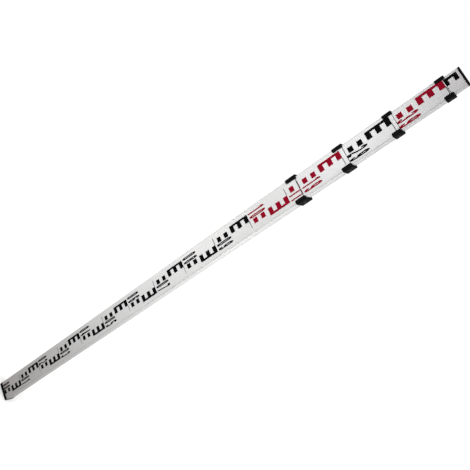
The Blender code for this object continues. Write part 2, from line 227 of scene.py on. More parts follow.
def plastic(name, colour, rough=0.46, grain=1.0, edge_wear_and_highlight=0.35, dust=0.25, gloss=0.30,
            painted_corner_highlight=None):
    """Moulded nylon: spark-eroded grain, flow clouds, paler edges (rubbing wear and painted
    highlight), a little dust in the grain, and painted highlights on the upright corners when
    asked."""
    g = Graph(name)
    fine = g.noise(2600.0, 2.0, 0.6)
    cells = g.voronoi(1500.0)
    cloud = g.noise(55.0, 3.0, 0.6)
    lighter = tuple(min(1.0, c * 2.6 + 0.006) for c in colour)
    col = g.mix(g.ramp(cloud, [(0.35, 0.0), (0.75, 1.0)]), colour,
                tuple(c * 1.7 for c in colour))
    speck = g.math("MULTIPLY", g.ramp(fine, [(0.60, 0.0), (0.78, 1.0)]), dust)
    col = g.mix(speck, col, tuple(c * 3.0 + 0.004 for c in colour))
    # paler edges: partly rubbing wear, partly painted highlight that shows the form of the
    # near-black plastic
    edge = g.ramp(g.pointiness(), [(0.53, 0.0), (0.66, 1.0)])
    broken = g.ramp(g.noise(420.0, 3.0, 0.7), [(0.40, 0.0), (0.62, 1.0)])
    col = g.mix(g.math("MULTIPLY", g.math("MULTIPLY", edge, broken), edge_wear_and_highlight), col, lighter)
    if painted_corner_highlight:
        # painted highlight: the four upright corners are painted paler, where their rounding
        # would catch the light
        x, y, _ = g.position()
        at = [g.math("MULTIPLY_ADD", g.math("ABSOLUTE", v), 400.0, -a * 400.0, clamp=True)
              for v, a in ((x, painted_corner_highlight[0]), (y, painted_corner_highlight[1]))]
        patch = g.ramp(g.noise(150.0, 3.0, 0.6), [(0.30, 0.45), (0.55, 1.0)])
        col = g.mix(g.math("MULTIPLY", g.math("MULTIPLY", at[0], at[1]), patch),
                    col, (0.17, 0.165, 0.16))
    r = g.math("MULTIPLY_ADD", cloud, 0.14, rough - 0.07)
    r = g.math("MULTIPLY_ADD", fine, 0.08, r)
    h = g.math("MULTIPLY_ADD", cells, 0.5, g.math("MULTIPLY", fine, 0.5))
    g.set(Base_Color=col, Roughness=r, Normal=g.bump(h, 0.35 * grain, 0.00008))
    g.shader.inputs["Specular IOR Level"].default_value = gloss
    return g.mat


def ink(name, colour, lighter, seed):
    """Screen-printed lacquer: slight orange peel, tiny thin spots."""
    g = Graph(name)
    shift = g.scaled(1.0, 1.0, 1.0)
    peel = g.noise(1400.0, 2.0, 0.5, shift)
    cloud = g.noise(60.0 + seed, 3.0, 0.6)
    thin = g.ramp(g.noise(900.0 + seed, 2.0, 0.5), [(0.70, 0.0), (0.80, 1.0)])
    col = g.mix(g.ramp(cloud, [(0.3, 0.0), (0.75, 1.0)]), colour, lighter)
    col = g.mix(g.math("MULTIPLY", thin, 0.2), col,
                tuple(min(1.0, c * 1.5 + 0.002) for c in lighter))
    g.set(Base_Color=col, Roughness=g.math("MULTIPLY_ADD", cloud, 0.14, 0.44),
          Normal=g.bump(peel, 0.15, 0.00003))
    g.shader.inputs["Specular IOR Level"].default_value = 0.01
    return g.mat


def steel(name, bright=0.62, rough=0.3, turning=2200.0):
    """Zinc-plated or drawn steel with turning marks and darker spots."""
    g = Graph(name)
    spots = g.noise(700.0, 3.0, 0.6)
    marks = g.noise(turning, 2.0, 0.5, g.scaled(1.0, 0.2, 1.0))
    col = g.mix(g.ramp(spots, [(0.35, 0.0), (0.7, 1.0)]),
                (bright * 0.78, bright * 0.78, bright * 0.80),
                (bright, bright, bright * 1.01))
    edge = g.ramp(g.pointiness(), [(0.44, 1.0), (0.50, 0.0)])
    col = g.mix(g.math("MULTIPLY", edge, 0.5), col, (0.12, 0.115, 0.11))
    g.set(Base_Color=col, Metallic=1.0,
          Roughness=g.math("MULTIPLY_ADD", spots, 0.2, rough - 0.05),
          Normal=g.bump(marks, 0.2, 0.00004))
    return g.mat


ALU = {n: aluminium("satin_aluminium_%d" % n,
                    {1: (1.0, 0.99, 0.985), 2: (1.0, 1.0, 1.0), 3: (1.0, 1.0, 1.0),
                     4: (0.995, 0.985, 0.99), 5: (0.985, 0.96, 0.97)}[n], n == 1)
       for n in SECTIONS}
COLLAR_PLASTIC = plastic("black_nylon", (0.0024, 0.0024, 0.0026), 0.56, gloss=0.02)
FOOT_PLASTIC = plastic("foot_nylon", (0.0030, 0.0030, 0.0030), 0.64, 1.4, 0.6, 0.4, 0.012,
                       (FOOT[1].x - 2.9 * MM, FOOT[1].y - 3.4 * MM))
SHOE_PLASTIC = plastic("shoe_acetal", (0.020, 0.020, 0.022), 0.50, 0.6)
BUTTON_PLASTIC = plastic("button_acetal", (0.010, 0.010, 0.011), 0.38, 0.4, 0.5)
BLACK_INK = ink("black_print", (0.0006, 0.0006, 0.0007), (0.0013, 0.0013, 0.0014), 0.0)
RED_INK = ink("red_print", (0.155, 0.0010, 0.0085), (0.190, 0.0018, 0.0110), 3.0)
LINE_INK = ink("line_print", (0.010, 0.010, 0.011), (0.02, 0.02, 0.021), 7.0)
ZINC = steel("zinc_plated", 0.60, 0.32)
BLACK_STEEL = steel("black_oxide", 0.035, 0.42)
SPRING_STEEL = steel("spring_wire", 0.55, 0.26, 1500.0)


# ------------------------------------------------------------------- geometry


def rounded(hw, hd, r, cy=0.0, seg=10, cx=0.0):
    """Corner-rounded rectangle in XY, counter-clockwise from +X."""
    out = []
    for ax, ay, a0 in ((hw - r, hd - r, 0.0), (-hw + r, hd - r, 90.0),
                       (-hw + r, -hd + r, 180.0), (hw - r, -hd + r, 270.0)):
        for k in range(seg + 1):
            a = math.radians(a0 + 90.0 * k / seg)
            out.append((cx + ax + r * math.cos(a), cy + ay + r * math.sin(a)))
    return out


def new_object(name, verts, faces, material, smooth=32.0):
    mesh = bpy.data.meshes.new(name)
    mesh.from_pydata([tuple(v) for v in verts], [], faces)
    mesh.validate()
    mesh.update()
    obj = bpy.data.objects.new(name, mesh)
    bpy.context.scene.collection.objects.link(obj)
    if material is not None:
        mesh.materials.append(material)
    if smooth:
        shade(obj, smooth)
    return obj


def shade(obj, angle):
    obj.data.shade_smooth()
    obj.data.set_sharp_from_angle(angle=math.radians(angle))


def loft(layers, flip=False):
    n = len(layers[0])
    verts = [p for loop in layers for p in loop]
    faces = []
    for i in range(len(layers) - 1):
        a, b = i * n, (i + 1) * n
        for k in range(n):
            m = (k + 1) % n
            faces.append((a + k, a + m, b + m, b + k))
    faces.append(tuple(reversed(range(n))))
    faces.append(tuple(range((len(layers) - 1) * n, len(layers) * n)))
    if flip:
        faces = [tuple(reversed(f)) for f in faces]
    return verts, faces


def stack(pairs):
    return [[(x, y, z) for x, y in loop] for z, loop in pairs]


def turned(profile, centre, axis, seg=40):
    """Lathe: profile is (along, radius). Radius 0 at an end closes to a point."""
    axis = Vector(axis).normalized()
    e1 = Vector((0, 0, 1)) if abs(axis.z) < 0.9 else Vector((1, 0, 0))
    e2 = axis.cross(e1)
    c = Vector(centre)
    verts, faces, rings = [], [], []
    for along, r in profile:
        if r < 1e-7:
            rings.append([len(verts)])
            verts.append(c + axis * along)
        else:
            rings.append(list(range(len(verts), len(verts) + seg)))
            for k in range(seg):
                a = 2 * math.pi * k / seg
                verts.append(c + axis * along + e1 * (r * math.cos(a)) + e2 * (r * math.sin(a)))
    for a, b in zip(rings, rings[1:]):
        for k in range(seg):
            m = (k + 1) % seg
            if len(a) == 1 and len(b) == 1:
                continue
            if len(a) == 1:
                faces.append((a[0], b[m], b[k]))
            elif len(b) == 1:
                faces.append((a[k], a[m], b[0]))
            else:
                faces.append((a[k], a[m], b[m], b[k]))
    if len(rings[0]) > 1:
        faces.append(tuple(reversed(rings[0])))
    if len(rings[-1]) > 1:
        faces.append(tuple(rings[-1]))
    return verts, faces


def carve(obj, shapes):
    """Takes closed shapes out of obj, exactly, and keeps the result as its mesh."""
    tools = []
    for k, shape in enumerate(shapes):
        tool = new_object("tool_%d" % k, *shape, None, smooth=None)
        bm = bmesh.new()
        bm.from_mesh(tool.data)
        bmesh.ops.recalc_face_normals(bm, faces=bm.faces)
        bm.to_mesh(tool.data)
        bm.free()
        mod = obj.modifiers.new("carve_%d" % k, "BOOLEAN")
        mod.operation = "DIFFERENCE"
        mod.solver = "EXACT"
        mod.object = tool
        tools.append(tool)
    bake(obj)
    for t in tools:
        mesh = t.data
        bpy.data.objects.remove(t)
        bpy.data.meshes.remove(mesh)


def bake(obj):
    """Applies obj's modifiers."""
    dg = bpy.context.evaluated_depsgraph_get()
    dg.update()
    mesh = bpy.data.meshes.new_from_object(obj.evaluated_get(dg))
    old = obj.data
    obj.modifiers.clear()
    obj.data = mesh
    mesh.name = obj.name
    bpy.data.meshes.remove(old)


def tidy(obj, dist=0.00001):
    bm = bmesh.new()
    bm.from_mesh(obj.data)
    bmesh.ops.remove_doubles(bm, verts=bm.verts, dist=dist)
    bmesh.ops.dissolve_degenerate(bm, edges=bm.edges, dist=dist)
    bm.to_mesh(obj.data)
    bm.free()


def soften(obj, width, segments=3, angle=38.0, smooth=32.0):
    """Rounds every crease sharper than the angle."""
    tidy(obj)
    mod = obj.modifiers.new("round", "BEVEL")
    mod.width = width
    mod.segments = segments
    mod.limit_method = "ANGLE"
    mod.angle_limit = math.radians(angle)
    mod.use_clamp_overlap = True
    mod.harden_normals = False
    mod.miter_outer = "MITER_ARC"
    bake(obj)
    tidy(obj, 0.000002)
    shade(obj, smooth)


def place(obj, body, slot, *nodes):
    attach(obj, body)
    if nodes:
        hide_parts(*nodes)
    return obj


# ---------------------------------------------------------------------- tubes


def hole_shapes(centre, axis, r, chamfer=0.25 * MM, seg=48, depth=3 * MM, wall=WALL):
    """A bore with its outer countersink, centred on the wall's middle, as one shape."""
    h = wall / 2
    return [turned([(-depth, r), (h - chamfer, r), (h + 0.4 * MM, r + chamfer + 0.4 * MM)],
                   centre, axis, seg)]


def make_tube(n):
    lo, hi = TUBE[n]
    hw, hd, z0, z1 = hi.x, hi.y, lo.z, hi.z
    b = 0.22 * MM
    steps = [(0.0, 1.0), (0.15, 0.5), (0.5, 0.13), (1.0, 0.0)]
    outer = [(z0 + b * t, rounded(hw - b * s, hd - b * s, CORNER - b * s)) for t, s in steps]
    outer += [(z1 - b * t, rounded(hw - b * s, hd - b * s, CORNER - b * s))
              for t, s in reversed(steps)]
    iw, idp, ir = hw - WALL, hd - WALL, CORNER - WALL
    c = 0.15 * MM
    inner = [(z1, rounded(iw + c, idp + c, ir + c)), (z1 - c, rounded(iw, idp, ir)),
             (z0 + c, rounded(iw, idp, ir)), (z0, rounded(iw + c, idp + c, ir + c))]
    rings = stack(outer + inner)
    m = len(rings[0])
    verts = [p for r in rings for p in r]
    faces = []
    count = len(rings)
    for i in range(count):
        a, d = i * m, ((i + 1) % count) * m
        for k in range(m):
            j = (k + 1) % m
            faces.append((a + k, a + j, d + j, d + k))
    tube = new_object("tube_%d" % n, verts, faces, ALU[n], smooth=None)
    shapes = []
    back = hd - WALL / 2
    if n > 1:
        shapes += hole_shapes((0, back, mid(BUTTON[n]).z), (0, 1, 0), 4.8 * MM)
    if n < 5:
        zb = mid(BUTTON[n + 1]).z + DRAW[n + 1]
        shapes += hole_shapes((0, back, zb), (0, 1, 0), 4.9 * MM, 0.35 * MM)
        zc = mid(COLLAR[n]).z
        for s in (-1, 1):
            shapes += hole_shapes((s * (hw - WALL / 2), 0, zc), (s, 0, 0), 1.5 * MM,
                                  0.15 * MM, 24)
    if n == 1:
        shapes += hole_shapes((0, back, mid(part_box("foot_cap_screw")).z), (0, 1, 0),
                              1.75 * MM, 0.15 * MM, 24)
    carve(tube, shapes)
    tidy(tube, 0.000001)
    shade(tube, 30.0)
    return place(tube, "section_%d" % n, "anodised_aluminium", "section_%d_tube" % n)


# ---------------------------------------------------------------------- print

# distances from the middle of the face, and heights above a decimetre mark
E_OUT = {1: 15.7, 2: 15.2, 3: 15.3, 4: 14.6, 5: 13.0}
SPINE = 4.0
SPREAD = 0.3                 # how far the ink runs past a block's nominal edge
BLOCK_OUT = 0.665            # of the E's reach
LINE_H = 1.3
DIGIT_H, DIGIT_W, DIGIT_Z = 43.0, 5.5, 3.2
OUTER_X, INNER_X = 14.1, 4.95
INK_PROUD = 0.035 * MM
INK_SUNK = 0.02 * MM


def area_of(loop):
    return 0.5 * sum(p[0] * q[1] - q[0] * p[1] for p, q in zip(loop, loop[1:] + loop[:1]))


def winding(point, loops):
    """How many times the outlines run round the point, counter-clockwise."""
    x, y = point
    count = 0
    for loop in loops:
        for (xa, ya), (xb, yb) in zip(loop, loop[1:] + loop[:1]):
            if (ya > y) != (yb > y) and x < xa + (y - ya) / (yb - ya) * (xb - xa):
                count += 1 if yb > ya else -1
    return count


def filled(loops):
    """Points and triangles that fill outer outlines and leave their holes open."""
    points, edges = [], []
    for loop in loops:
        first = len(points)
        points += [Vector(p) for p in loop]
        edges += [(first + k, first + (k + 1) % len(loop)) for k in range(len(loop))]
    made, _, tris = delaunay_2d_cdt(points, edges, [], 0, 1e-5)[:3]
    kept, number = [], {}
    for t in tris:
        a, b, c = (made[k] for k in t)
        turn = (b.x - a.x) * (c.y - a.y) - (c.x - a.x) * (b.y - a.y)
        middle = (a + b + c) / 3
        if abs(turn) < 1e-7 or winding((middle.x, middle.y), loops) < 1:
            continue
        for k in t:
            number.setdefault(k, len(number))
        t = tuple(number[k] for k in t)
        kept.append(t if turn > 0 else tuple(reversed(t)))
    return [(made[k].x, made[k].y) for k in number], kept


def stroke(path, rx, rz, closed=False):
    """Outlines of a line drawn with an upright elliptical nib."""
    n = len(path)
    sides = ([], [])
    for k in range(n):
        p = Vector(path[k])
        if closed:
            d = Vector(path[(k + 1) % n]) - Vector(path[k - 1])
        else:
            d = Vector(path[min(k + 1, n - 1)]) - Vector(path[max(k - 1, 0)])
        q = Vector((d.y, -d.x)).normalized()
        w = math.hypot(rx * q.x, rz * q.y)
        off = Vector((rx * rx * q.x, rz * rz * q.y)) / w
        sides[0].append((p.x + off.x, p.y + off.y))
        sides[1].append((p.x - off.x, p.y - off.y))
    if not closed:
        return [counter(sides[0] + sides[1][::-1])]
    outer, inner = sides if abs(area_of(sides[0])) > abs(area_of(sides[1])) else sides[::-1]
    return [counter(outer), counter(inner)[::-1]]


def counter(loop):
    """The loop, counter-clockwise."""
    return loop if area_of(loop) > 0 else loop[::-1]


def arc(cx, cz, rx, rz, a0, a1, steps=8):
    out = []
    for k in range(steps + 1):
        t = math.radians(a0 + (a1 - a0) * k / steps)
        out.append((cx + rx * math.cos(t), cz + rz * math.sin(t)))
    return out


NIB_X, NIB_Z = 1.22, 3.9     # half strokes, across and along the rod


def digit_loops(digit):
    """Tall, narrow figure, centred on x = 0 and standing on z = 0."""
    H, rx, rz = DIGIT_H, NIB_X, NIB_Z
    a = DIGIT_W / 2 - rx
    lo, hi, mid_z = rz, H - rz, 0.53 * H
    R = 5.5

    def pen(path, closed=False):
        return stroke(path, rx, rz, closed)

    def bowl(z0, z1):
        r = min(R, (z1 - z0) / 2)
        return (arc(0, z0 + r, a, r, -180, 0, 16) + arc(0, z1 - r, a, r, 0, 180, 16))

    def bar(z, x0=-1.0, x1=1.0):
        w = DIGIT_W / 2
        return [[(w * x0, z - rz), (w * x1, z - rz), (w * x1, z + rz), (w * x0, z + rz)]]

    if digit == "0":
        return pen(bowl(lo, hi), True)
    if digit == "1":
        xr = DIGIT_W / 2 - 0.6
        xl = xr - 2.2 * rx
        return [round_corners([(xl, 0), (xr, 0), (xr, H), (xl + 0.2, H),
                               (xl - 1.5, H - 6.0), (xl - 1.5, H - 12.5),
                               (xl, H - 8.0)], 0.25)]
    if digit == "2":
        return (pen([(-a, hi - R - 3.0)] + arc(0, hi - R, a, R, 180, 0, 16)
                    + [(a, hi - R - 5.0), (0.72 * a, mid_z - 2.0), (-0.55 * a, lo + 8.0),
                       (-a, lo + 1.0)]) + bar(lo))
    if digit == "3":
        return (pen([(-a, hi - R - 2.5)] + arc(0, hi - R, a, R, 180, 0, 16)
                    + arc(0, mid_z + 3.6, a, 4.0, 0, -90, 8) + [(-0.35 * a, mid_z - 0.4)])
                + pen([(-a, lo + R + 2.5)] + arc(0, lo + R, a, R, 180, 360, 16)
                      + arc(0, mid_z - 4.4, a, 4.0, 0, 90, 8) + [(-0.35 * a, mid_z - 0.4)]))
    if digit == "4":
        xs = 0.42 * a
        return ([[(xs - rx, 0), (xs + rx, 0), (xs + rx, H), (xs - rx, H)]]
                + [counter([(xs - rx, H), (xs + 0.2 * rx, H), (-a + 0.9 * rx, 13.0),
                            (-a - rx, 13.0), (-a - rx, 10.0)])]
                + bar(10.5))
    if digit == "5":
        return (bar(hi, -0.9, 0.9)
                + [[(-a - rx, mid_z - 2.0), (-a + rx, mid_z - 2.0), (-a + rx, H),
                    (-a - rx, H)]]
                + pen([(-a, mid_z - 1.0)] + arc(0, mid_z - 1.5, a, R - 1.5, 150, 0, 12)
                      + arc(0, lo + R, a, R, 0, -180, 16) + [(-a, lo + R + 2.5)]))
    if digit in "69":
        loops = (pen(bowl(lo, mid_z + 1.0), True)
                 + pen([(-a, lo + R)] + arc(0, hi - R, a, R, 180, 0, 16)
                       + [(a, hi - R - 2.5)]))
        if digit == "9":
            loops = [[(-x, H - z) for x, z in loop] for loop in loops]
        return loops
    if digit == "7":
        return (bar(hi) + [counter([(a - rx, hi), (a + rx, hi), (a + rx, hi - 3.0),
                                    (0.1, 0), (-2 * rx + 0.1, 0)])])
    return pen(bowl(lo, mid_z + 0.5 * rz - 0.4), True) + pen(bowl(mid_z - 0.4, hi), True)


FIGURES = {}


def digit_shape(digit, xm, z0):
    """Points and triangles of a figure about xm that stands on z0."""
    if digit not in FIGURES:
        FIGURES[digit] = filled(digit_loops(digit))
    points, faces = FIGURES[digit]
    return [(xm + x, z0 + z) for x, z in points], faces


def polygon(points):
    """A flat outline as (points, faces)."""
    return points, [tuple(range(len(points)))]


def round_corners(points, r, seg=3):
    """Rounds the corners of a closed outline."""
    out = []
    n = len(points)
    for k in range(n):
        p0, p1, p2 = (Vector((*points[(k + d) % n], 0)) for d in (-1, 0, 1))
        a, b = (p0 - p1), (p2 - p1)
        rr = min(r, a.length * 0.45, b.length * 0.45)
        a, b = p1 + a.normalized() * rr, p1 + b.normalized() * rr
        for i in range(seg + 1):
            t = i / seg
            q = a * (1 - t) ** 2 + p1 * (2 * t * (1 - t)) + b * t * t
            out.append((q.x, q.y))
    return out


def rect(x0, x1, z0, z1, r=0.25):
    if x0 > x1:
        x0, x1 = x1, x0
    return polygon(round_corners([(x0, z0), (x1, z0), (x1, z1), (x0, z1)], r))


def letter_e(side, out, z):
    """E of three teeth 10 high, its spine outward."""
    g = SPREAD
    s, i, m = side * (out + g), side * (out - SPINE - g), -side * g
    a = [z - g, z + 10 + g, z + 20 - g, z + 30 + g, z + 40 - g, z + 50 + g]
    pts = [(m, a[0]), (s, a[0]), (s, a[5]), (m, a[5]), (m, a[4]), (i, a[4]),
           (i, a[3]), (m, a[3]), (m, a[2]), (i, a[2]), (i, a[1]), (m, a[1])]
    if side < 0:
        pts.reverse()
    return polygon(round_corners(pts, 0.25))


def slab(bm, shape, y_face, zlo, zhi):
    """Adds a closed thin slab of ink to bm, cut off at the ends of the face."""
    pts, faces = shape
    one = bmesh.new()
    front = [one.verts.new((x * MM, y_face - INK_PROUD, z * MM)) for x, z in pts]
    back = [one.verts.new((x * MM, y_face + INK_SUNK, z * MM)) for x, z in pts]
    edges = {}
    for f in faces:
        one.faces.new([front[i] for i in f])
        one.faces.new([back[i] for i in reversed(f)])
        for a, b in zip(f, f[1:] + f[:1]):
            edges[(a, b)] = edges.get((a, b), 0) + 1
    for a, b in edges:
        if (b, a) not in edges:
            one.faces.new([front[b], front[a], back[a], back[b]])
    for z, keep in ((zlo, 1), (zhi, -1)):
        zs = [v.co.z for v in one.verts]
        if not zs:
            break
        if (keep > 0 and max(zs) <= z) or (keep < 0 and min(zs) >= z):
            one.free()
            return
        if min(zs) < z < max(zs):
            geom = one.verts[:] + one.edges[:] + one.faces[:]
            r = bmesh.ops.bisect_plane(one, geom=geom, dist=1e-8, plane_co=(0, 0, z),
                                       plane_no=(0, 0, keep), clear_inner=True)
            rim = [e for e in r["geom_cut"] if isinstance(e, bmesh.types.BMEdge)]
            bmesh.ops.holes_fill(one, edges=rim, sides=0)
    bmesh.ops.recalc_face_normals(one, faces=one.faces)
    mesh = bpy.data.meshes.new("one")
    one.to_mesh(mesh)
    one.free()
    bm.from_mesh(mesh)
    bpy.data.meshes.remove(mesh)


def ink_colour(decimetre):
    return "red" if (decimetre // 10) % 2 else "black"


def make_print(n):
    lo, hi = TUBE[n]
    y = -half_depth(n)
    zlo, zhi = lo.z + 0.4 * MM, hi.z - (3.9 if n == 5 else 0.35) * MM
    first = 0.0 if n == 1 else TUBE[n - 1][1].z + BASE[n - 1]
    if n > 1:
        zlo = max(zlo, first - BASE[n])
    out = E_OUT[n]
    groups = {"black": bmesh.new(), "red": bmesh.new(), "line": bmesh.new()}
    start = int(math.floor(first * 10 + 1e-6))
    stop = int(math.ceil((hi.z + BASE[n]) * 10))
    for dm in range(start, stop):
        z = (dm * 0.1 - BASE[n]) / MM
        side = 1 if dm % 2 == 0 else -1
        target = groups[ink_colour(dm)]
        g = SPREAD
        shapes = [rect(-side * g, side * (out * BLOCK_OUT + g), z + 10 - g, z + 20 + g),
                  rect(-side * g, side * (out * BLOCK_OUT + g), z + 30 - g, z + 40 + g),
                  letter_e(side, out, z + 50)]
        # tens on the left, both kept on the flat of the face
        outer = min(OUTER_X, (half_width(n) - CORNER) / MM - DIGIT_W / 2 - 0.2)
        for digit, xm in zip("%02d" % dm, (-outer, -INNER_X) if side > 0 else (INNER_X, outer)):
            # a figure of which only a sliver would show is left off
            if hi.z / MM - z > 15.0:
                shapes.append(digit_shape(digit, xm, z + DIGIT_Z))
        for s in shapes:
            slab(target, s, y, zlo, zhi)
        slab(groups["line"], rect(0, side * out, z - LINE_H / 2, z + LINE_H / 2, 0.1),
             y, zlo, zhi)
    for kind, bm in groups.items():
        if not bm.verts:
            bm.free()
            continue
        mesh = bpy.data.meshes.new("print_%d_%s" % (n, kind))
        bm.to_mesh(mesh)
        bm.free()
        mesh.materials.append({"black": BLACK_INK, "red": RED_INK, "line": LINE_INK}[kind])
        obj = bpy.data.objects.new(mesh.name, mesh)
        bpy.context.scene.collection.objects.link(obj)
        place(obj, "section_%d" % n, None)


# -------------------------------------------------------------------- collars


def make_collar(n):
    lo, hi = COLLAR[n]
    hw, hd = half_width(n), half_depth(n)
    z0, z1 = lo.z, hi.z
    ow = hi.x
    yf, yb = lo.y, hi.y
    od, oc = (yb - yf) / 2, (yb + yf) / 2
    r = CORNER + GAP + 1.6 * MM
    e = 1.1 * MM

    def ring(inset):
        return rounded(ow - inset, od - inset, r - inset, oc, 12)

    layers = []
    for k in range(7):
        a = math.radians(90.0 * k / 6)
        layers.append((z0 + e * (1 - math.cos(a)), ring(e * (1 - math.sin(a)))))
    for k in range(6, -1, -1):
        a = math.radians(90.0 * k / 6)
        layers.append((z1 - e * (1 - math.cos(a)), ring(e * (1 - math.sin(a)))))
    collar = new_object("collar_shell_%d" % n, *loft(stack(layers)), COLLAR_PLASTIC,
                        smooth=None)
    lip = TUBE[n][1].z + GAP
    shapes = [
        loft(stack([(z0 - 5 * MM, rounded(hw + GAP, hd + GAP, CORNER + GAP)),
                    (lip, rounded(hw + GAP, hd + GAP, CORNER + GAP))])),
    ]
    nw, nd = half_width(n + 1) + 0.35 * MM, half_depth(n + 1) + 0.35 * MM
    shapes.append(loft(stack([(z0 - 6 * MM, rounded(nw, nd, CORNER)),
                              (z1 + 5 * MM, rounded(nw, nd, CORNER))])))
    # window over the face: the hooks' free corners are well rounded. A thin strip
    # of the lip stays, just above the tube's end
    hook = {1: 6.8, 2: 6.7, 3: 6.5, 4: 5.8}[n] * MM
    xs = hw - hook
    f = 2.6 * MM
    side = [(xs + f + 6 * MM, z0 - 4 * MM)]
    for k in range(9):
        a = math.radians(11.25 * k * 90.0 / 90.0)
        side.append((xs + f - f * math.sin(a), z0 + f - f * math.cos(a)))
    top = [(x, z1 - (z - z0)) for x, z in reversed(side)]
    right = side + top
    left = [(-x, z) for x, z in reversed(right)]
    loop = right + left
    ya, ym, yb2 = yf - 5 * MM, -(hd - 0.1 * MM), -(half_depth(n + 1) - 1.0 * MM)
    shapes.append(loft([[(x, ya, z) for x, z in loop], [(x, ym, z) for x, z in loop]],
                       flip=True))
    zb = lip + 0.25 * MM
    right = [(xs, zb)] + [(x, z) for x, z in top if z > zb + 0.05 * MM]
    loop = right + [(-x, z) for x, z in reversed(right)]
    shapes.append(loft([[(x, ya, z) for x, z in loop], [(x, yb2, z) for x, z in loop]],
                       flip=True))
    zc = (z0 + z1) / 2
    for s in (-1, 1):
        shapes.append(turned([(-4 * MM, 1.5 * MM), (4 * MM, 1.5 * MM)],
                             (s * (hw + 1.0 * MM), 0, zc), (s, 0, 0), 24))
    carve(collar, shapes)
    soften(collar, 0.28 * MM, 3, 40.0)
    return place(collar, "section_%d" % n, "collar_plastic", "collar_%d" % n)


def make_pins(n):
    for name, s in (("left", -1), ("right", 1)):
        node = "collar_%d_pin_%s" % (n, name)
        lo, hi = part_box(node)
        tip = hi.x if s > 0 else -lo.x
        start = lo.x if s > 0 else -hi.x
        zc = (lo.z + hi.z) / 2
        L = tip - start
        hr, h = 2.1 * MM, 0.6 * MM
        seat = L - h
        dome = [(seat + h * math.sin(math.radians(a)) * 0.62 + 0.38 * h,
                 hr * math.cos(math.radians(a)) if a < 90 else 0.0)
                for a in range(0, 91, 9)]
        prof = [(0.0, 0.0), (0.0, 0.85 * MM), (0.12 * MM, 1.05 * MM), (0.5 * MM, 1.25 * MM),
                (seat, 1.25 * MM), (seat + 0.001 * MM, hr - 0.12 * MM),
                (seat + 0.1 * MM, hr)] + dome
        pin = new_object("pin_%d_%s" % (n, name),
                         *turned(prof, (s * start, 0, zc), (s, 0, 0), 40), BLACK_STEEL)
        place(pin, "section_%d" % n, "black_steel", node)


# ------------------------------------------------------------------ foot, cap


def make_foot():
    lo, hi = FOOT
    fw, fd = hi.x, hi.y
    hw, hd = half_width(1), half_depth(1)
    top = TUBE[1][0].z - GAP
    plug = hi.z
    r = CORNER + (fw - hw)
    pw, pd = hw - WALL - GAP, hd - WALL - GAP
    e = 0.7 * MM
    layers = []
    for k in range(6):
        a = math.radians(90.0 * k / 5)
        layers.append((e * (1 - math.cos(a)),
                       rounded(fw - e * (1 - math.sin(a)), fd - e * (1 - math.sin(a)),
                               r - e * (1 - math.sin(a)), 0, 12)))
    # shallow shadow groove round the boot, under its top rim
    g0 = top - 2.2 * MM
    for dz, inset in ((0.0, 0.0), (0.12 * MM, 0.10 * MM), (0.2 * MM, 0.22 * MM),
                      (0.6 * MM, 0.22 * MM), (0.68 * MM, 0.10 * MM), (0.8 * MM, 0.0)):
        layers.append((g0 + dz, rounded(fw - inset, fd - inset, r - inset, 0, 12)))
    b = 0.35 * MM
    for k in range(5):
        a = math.radians(90.0 * k / 4)
        layers.append((top - b * (1 - math.sin(a)),
                       rounded(fw - b * (1 - math.cos(a)), fd - b * (1 - math.cos(a)),
                               r - b * (1 - math.cos(a)), 0, 12)))
    layers += [(top + 0.0005 * MM, rounded(pw, pd, CORNER - WALL, 0, 12)),
               (plug - 0.8 * MM, rounded(pw, pd, CORNER - WALL, 0, 12)),
               (plug, rounded(pw - 0.5 * MM, pd - 0.5 * MM, 1.0 * MM, 0, 12))]
    foot = new_object("foot_boot", *loft(stack(layers)), FOOT_PLASTIC, smooth=None)
    inner = rounded(pw - 2.2 * MM, pd - 2.2 * MM, 1.2 * MM, 0, 6)
    shapes = [loft(stack([(top + 2.3 * MM, inner), (plug + 5 * MM, inner)])),
              turned([(-4 * MM, 1.8 * MM), (4 * MM, 1.8 * MM)],
                     (0, pd, mid(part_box("foot_cap_screw")).z), (0, 1, 0), 24)]
    carve(foot, shapes)
    tidy(foot)
    shade(foot, 30.0)
    place(foot, "section_1", "foot_plastic", "foot_cap")

    lo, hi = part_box("foot_cap_screw")
    zc = (lo.z + hi.z) / 2
    start, tip = lo.y, hi.y
    L = tip - start
    head = 1.6 * MM
    seat = L - head
    # thread as a run of rings on the shank
    prof = [(0.0, 0.0), (0.15 * MM, 0.45 * MM), (1.2 * MM, 1.2 * MM)]
    z = 1.3 * MM
    while z < seat - 0.9 * MM:
        prof += [(z, 1.15 * MM), (z + 0.28 * MM, 1.48 * MM), (z + 0.36 * MM, 1.48 * MM),
                 (z + 0.62 * MM, 1.15 * MM)]
        z += 0.7 * MM
    prof += [(seat - 0.05 * MM, 1.3 * MM), (seat, 1.45 * MM), (seat + 0.001 * MM, 2.85 * MM),
             (seat + 0.15 * MM, 3.0 * MM), (seat + 0.55 * MM, 3.0 * MM)]
    for a in range(10, 91, 10):
        t = math.radians(a)
        prof.append((seat + 0.55 * MM + (head - 0.55 * MM) * math.sin(t),
                     0.9 * MM + 2.1 * MM * math.cos(t)))
    prof.append((L, 0.0))
    screw = new_object("foot_screw", *turned(prof, (0, start, zc), (0, 1, 0), 40), ZINC,
                       smooth=None)
    shapes = []
    for a, b in ((1.7 * MM, 0.33 * MM), (0.33 * MM, 1.7 * MM)):
        deep, up = 0.95 * MM, 0.3 * MM
        shapes.append(loft([
            [(-a * 0.55, tip - deep, zc - b), (a * 0.55, tip - deep, zc - b),
             (a * 0.55, tip - deep, zc + b), (-a * 0.55, tip - deep, zc + b)]
            if a > b else
            [(-a, tip - deep, zc - b * 0.55), (a, tip - deep, zc - b * 0.55),
             (a, tip - deep, zc + b * 0.55), (-a, tip - deep, zc + b * 0.55)],
            [(-a, tip + up, zc - b), (a, tip + up, zc - b),
             (a, tip + up, zc + b), (-a, tip + up, zc + b)]]))
    carve(screw, shapes)
    tidy(screw, 0.000001)
    shade(screw, 30.0)
    place(screw, "section_1", "zinc_steel", "foot_cap_screw")


